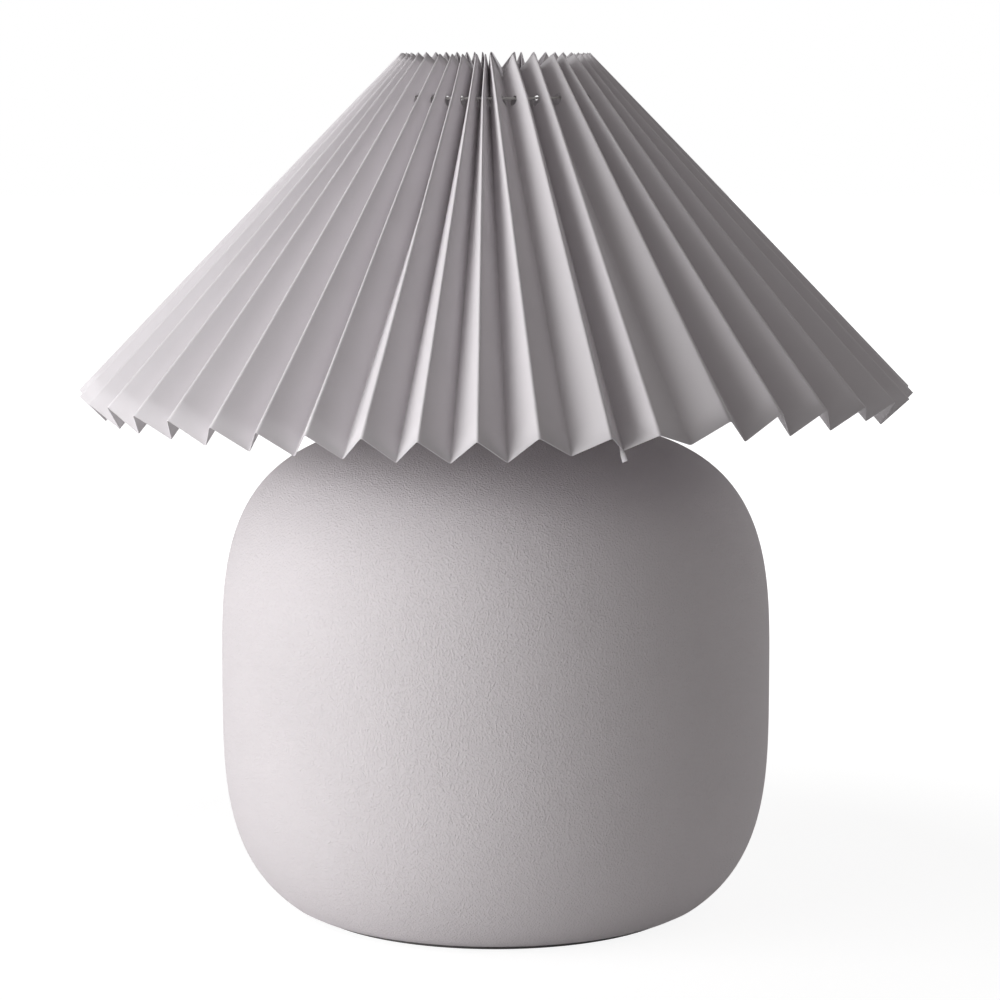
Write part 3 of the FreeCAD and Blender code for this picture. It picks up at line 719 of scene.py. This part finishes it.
class LAMP_OT_paper_shade(bpy.types.Operator):
    """Fold the paper shade, punch its holes and glue its seam"""
    bl_idname = "lamp.paper_shade"
    bl_label = "Paper Shade"

    def execute(self, context):
        sheet = FoldedSheet(context.scene.lamp_shade)
        shade = new_piece("folded_paper_shade", folded_sheet_mesh(sheet), "shade", finish("paper"), 50)
        thicken(shade, sheet.settings.thickness)
        tab = new_piece("seam_glue_tab", glue_tab_mesh(sheet), "shade", finish("paper"))
        thicken(tab, sheet.settings.thickness)
        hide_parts("pleated_shade")
        return {"FINISHED"}


def ring_mesh(name, radius, wire, height, around_count=240, across_count=16):
    """A round wire bent into a ring."""
    shape = bmesh.new()
    rings = []
    for turn in range(around_count):
        bearing = 360 * turn / around_count
        ring = []
        for step in range(across_count):
            angle = 2 * math.pi * step / across_count
            ring.append(shape.verts.new(around(bearing, radius + wire * math.cos(angle),
                                               height + wire * math.sin(angle))))
        rings.append(ring)
    for turn in range(around_count):
        ring, following = rings[turn], rings[(turn + 1) % around_count]
        for step in range(across_count):
            after = (step + 1) % across_count
            shape.faces.new((ring[step], following[step], following[after], ring[after]))
    bmesh.ops.recalc_face_normals(shape, faces=shape.faces)
    mesh = bpy.data.meshes.new(name)
    shape.to_mesh(mesh)
    shape.free()
    return mesh


class LAMP_OT_shade_wire(bpy.types.Operator):
    """Bend the wire ring that the shade hangs on"""
    bl_idname = "lamp.shade_wire"
    bl_label = "Shade Wire"

    def execute(self, context):
        low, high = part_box("shade_wire")
        wire = (high.z - low.z) / 2
        mesh = ring_mesh("shade_wire_ring", radius_of("shade_wire") - wire, wire, (low.z + high.z) / 2)
        piece = new_piece("shade_wire_ring", mesh, "shade", finish("powder_coat"))
        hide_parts("shade_wire")
        return {"FINISHED"}


# ---- carrier, lampholder and inlet ----
class LAMP_OT_carrier(bpy.types.Operator):
    """Finish the carrier's hub and rods and the two shade rings that clamp it"""
    bl_idname = "lamp.carrier"
    bl_label = "Shade Carrier"

    def execute(self, context):
        dress(["carrier_hub"] + ARMS, "powder_coat")
        dress(["lower_shade_ring", "upper_shade_ring"], "white_plastic")
        return {"FINISHED"}


class LAMP_OT_lampholder(bpy.types.Operator):
    """Finish the lampholder and what clamps it to the body"""
    bl_idname = "lamp.lampholder"
    bl_label = "Lampholder"

    def execute(self, context):
        dress(["holder_cap", "holder_shell"], "white_plastic")
        dress(["neck_cap"], "powder_coat")
        dress(["threaded_nipple", "inner_nut", "inner_washer", "neck_nut", "holder_grub_screw"], "zinc")
        dress(["inner_gasket", "neck_gasket"], "rubber")
        dress(["holder_screw_shell", "terminal_screws", "centre_contact", "side_contact"], "brass")
        dress(["holder_insert"], "insert_ceramic")
        return {"FINISHED"}


class LAMP_OT_cord_inlet(bpy.types.Operator):
    """Finish the cord inlet at the back of the body"""
    bl_idname = "lamp.cord_inlet"
    bl_label = "Cord Inlet"

    def execute(self, context):
        dress(["cord_gland", "gland_nut"], "white_plastic")
        return {"FINISHED"}


class LAMP_OT_bulb(bpy.types.Operator):
    """Turn the bulb's opal globe and housing, and finish its cap"""
    bl_idname = "lamp.bulb"
    bl_label = "Bulb"

    def execute(self, context):
        self.make_globe()
        self.make_housing()
        dress(["bulb_cap"], "nickel")
        dress(["bulb_contact"], "brass")
        dress(["bulb_insulator"], "black_plastic")
        dress(["bulb_board"], "board")
        return {"FINISHED"}

    def make_globe(self):
        low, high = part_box("bulb_globe")
        radius = radius_of("bulb_globe")
        rim = radius_of("bulb_housing")
        widest = high.z - radius
        lip, wall = 1.5 * MM, 1.0 * MM
        side_steps, dome_steps = 12, 40
        quarter = math.pi / 2
        side = [(mix(rim, radius, math.sin(quarter * step / side_steps)),
                 mix(low.z, widest, step / side_steps)) for step in range(side_steps)]
        dome = [(radius * math.cos(quarter * step / dome_steps),
                 widest + radius * math.sin(quarter * step / dome_steps)) for step in range(dome_steps)]
        outline = [(rim - lip, low.z)] + side + dome + [(0, high.z)]
        mesh = lathe_mesh("opal_globe", outline, segments=128, closed=False)
        piece = new_piece("opal_globe", mesh, "bulb", finish("opal"))
        thicken(piece, wall)
        piece.modifiers["thickness"].offset = -1
        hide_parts("bulb_globe")

    def make_housing(self):
        low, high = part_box("bulb_housing")
        rim = radius_of("bulb_housing")
        neck = 13.6 * MM
        wall, recess = 2 * MM, 3 * MM
        steps = 24
        outer = [(mix(neck, rim, ease(step / steps) ** 0.85), mix(low.z, high.z, step / steps))
                 for step in range(steps + 1)]
        top = [(rim - wall, high.z), (rim - wall, high.z - recess), (0, high.z - recess)]
        mesh = lathe_mesh("bulb_housing_shell", [(0, low.z)] + outer + top, segments=128, closed=False)
        piece = new_piece("bulb_housing_shell", mesh, "bulb", finish("bulb_plastic"))
        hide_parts("bulb_housing")


# ---- studio ----
def seen_directly(tree):
    """1 for rays from the camera, from gloss and through glass, and 0 for light on other pieces."""
    paths = tree.nodes.new("ShaderNodeLightPath")
    seen = paths.outputs["Is Camera Ray"]
    for ray in ("Is Glossy Ray", "Is Transmission Ray"):
        either = tree.nodes.new("ShaderNodeMath")
        either.operation = "MAXIMUM"
        tree.links.new(seen, either.inputs[0])
        tree.links.new(paths.outputs[ray], either.inputs[1])
        seen = either.outputs[0]
    return seen


ROOM_TINT = (1.0, 0.955, 0.94)
FLOOR_GLOW = 1.28              # shows as plain white next to the lit floor
SHADOW_REACH = (0.3, 1.1)      # metres: the floor's shadow is kept up to the first, gone at the second
SHADOW_SOFTNESS = 0.7          # share of plain white within the shadow


def make_world(strength):
    """An even, slightly warm room that shows as white."""
    world = bpy.data.worlds.new("studio_room")
    world.use_nodes = True
    tree = world.node_tree
    tree.nodes.clear()
    output = tree.nodes.new("ShaderNodeOutputWorld")
    background = tree.nodes.new("ShaderNodeBackground")
    colors = tree.nodes.new("ShaderNodeMix")
    colors.data_type = "RGBA"
    colors.inputs["A"].default_value = (*scaled(ROOM_TINT, strength), 1)
    colors.inputs["B"].default_value = (1, 1, 1, 1)
    tree.links.new(seen_directly(tree), colors.inputs["Factor"])
    tree.links.new(colors.outputs["Result"], background.inputs["Color"])
    tree.links.new(background.outputs["Background"], output.inputs["Surface"])
    bpy.context.scene.world = world


def floor_material():
    """A sheet that keeps a faint shadow round the lamp and turns plain white farther out."""
    material = bpy.data.materials.new("studio_floor")
    material.use_nodes = True
    tree = material.node_tree
    tree.nodes.clear()
    output = tree.nodes.new("ShaderNodeOutputMaterial")
    diffuse = tree.nodes.new("ShaderNodeBsdfDiffuse")
    diffuse.inputs["Color"].default_value = (0.8, 0.8, 0.8, 1)
    glow = tree.nodes.new("ShaderNodeEmission")
    glow.inputs["Color"].default_value = (1, 1, 1, 1)
    glow.inputs["Strength"].default_value = FLOOR_GLOW
    blend = tree.nodes.new("ShaderNodeMixShader")
    place = tree.nodes.new("ShaderNodeTexCoord")
    distance = tree.nodes.new("ShaderNodeVectorMath")
    distance.operation = "LENGTH"
    fade = tree.nodes.new("ShaderNodeMapRange")
    fade.inputs["From Min"].default_value, fade.inputs["From Max"].default_value = SHADOW_REACH
    fade.inputs["To Min"].default_value = SHADOW_SOFTNESS
    share = tree.nodes.new("ShaderNodeMath")
    share.operation = "MULTIPLY"
    tree.links.new(place.outputs["Object"], distance.inputs[0])
    tree.links.new(distance.outputs["Value"], fade.inputs["Value"])
    tree.links.new(fade.outputs["Result"], share.inputs[1])
    tree.links.new(seen_directly(tree), share.inputs[0])
    tree.links.new(share.outputs[0], blend.inputs["Fac"])
    tree.links.new(diffuse.outputs["BSDF"], blend.inputs[1])
    tree.links.new(glow.outputs["Emission"], blend.inputs[2])
    tree.links.new(blend.outputs["Shader"], output.inputs["Surface"])
    return material


def area_light(name, place, target, width, height, power):
    """A soft lamp aimed at a point."""
    data = bpy.data.lights.new(name, "AREA")
    data.shape = "RECTANGLE"
    data.size = width
    data.size_y = height
    data.energy = power
    light = bpy.data.objects.new(name, data)
    light.location = place
    light.rotation_euler = (Vector(target) - Vector(place)).to_track_quat("-Z", "Y").to_euler()
    bpy.context.scene.collection.objects.link(light)
    return light


class LAMP_OT_studio(bpy.types.Operator):
    """Set up the camera, the soft light and the pale floor"""
    bl_idname = "lamp.studio"
    bl_label = "Studio"

    def execute(self, context):
        settings = context.scene.lamp_studio
        data = bpy.data.cameras.new("photo_camera")
        data.lens = settings.lens
        data.sensor_width = 36
        data.clip_end = 50
        camera = bpy.data.objects.new("photo_camera", data)
        camera.location = (settings.camera_aside, -settings.camera_distance, settings.camera_height)
        camera.rotation_euler = (math.pi / 2 - settings.camera_down, 0, 0)
        context.scene.collection.objects.link(camera)
        context.scene.camera = camera

        middle = (0, 0, 0.23)
        area_light("key_light", around(-60, 2.0, 0.5), middle, 1.8, 1.0, settings.key_power)
        area_light("upper_light", around(-70, 1.6, 1.4), middle, 1.0, 1.0, settings.upper_power)
        area_light("edge_light", around(112, 2.0, 0.5), middle, 1.2, 1.2, settings.edge_power)
        make_world(settings.room_light)

        bpy.ops.mesh.primitive_plane_add(size=12, location=(0, 0, 0))
        floor = context.active_object
        floor.name = "studio_floor"
        floor.data.materials.append(floor_material())
        context.scene.view_settings.view_transform = "Standard"
        return {"FINISHED"}


class LAMP_PT_panel(bpy.types.Panel):
    """Buttons for each group of pieces, and the settings they use"""
    bl_label = "Pleated Paper Table Lamp"
    bl_idname = "LAMP_PT_panel"
    bl_space_type = "VIEW_3D"
    bl_region_type = "UI"
    bl_category = "Lamp"

    def draw(self, context):
        layout = self.layout
        for operator in OPERATORS:
            layout.operator(operator.bl_idname)
        for group in ("lamp_body", "lamp_shade", "lamp_colors", "lamp_studio"):
            settings = getattr(context.scene, group)
            box = layout.box()
            for name in settings.__annotations__:
                box.prop(settings, name)


OPERATORS = (LAMP_OT_stoneware_body, LAMP_OT_foot, LAMP_OT_paper_shade, LAMP_OT_shade_wire,
             LAMP_OT_carrier, LAMP_OT_lampholder, LAMP_OT_cord_inlet, LAMP_OT_bulb, LAMP_OT_studio)
SETTINGS = {"lamp_body": LampBodySettings, "lamp_shade": LampShadeSettings,
            "lamp_colors": LampColorSettings, "lamp_studio": LampStudioSettings}


def register():
    for group in SETTINGS.values():
        bpy.utils.register_class(group)
    for operator in OPERATORS:
        bpy.utils.register_class(operator)
    bpy.utils.register_class(LAMP_PT_panel)
    for name, group in SETTINGS.items():
        setattr(bpy.types.Scene, name, PointerProperty(type=group))


def unregister():
    for name in SETTINGS:
        delattr(bpy.types.Scene, name)
    bpy.utils.unregister_class(LAMP_PT_panel)
    for operator in reversed(OPERATORS):
        bpy.utils.unregister_class(operator)
    for group in SETTINGS.values():
        bpy.utils.unregister_class(group)


def main():
    register()
    bpy.ops.lamp.stoneware_body()
    bpy.ops.lamp.foot()
    bpy.ops.lamp.paper_shade()
    bpy.ops.lamp.shade_wire()
    bpy.ops.lamp.carrier()
    bpy.ops.lamp.lampholder()
    bpy.ops.lamp.cord_inlet()
    bpy.ops.lamp.bulb()
    bpy.ops.lamp.studio()


if __name__ == "__main__":
    main()
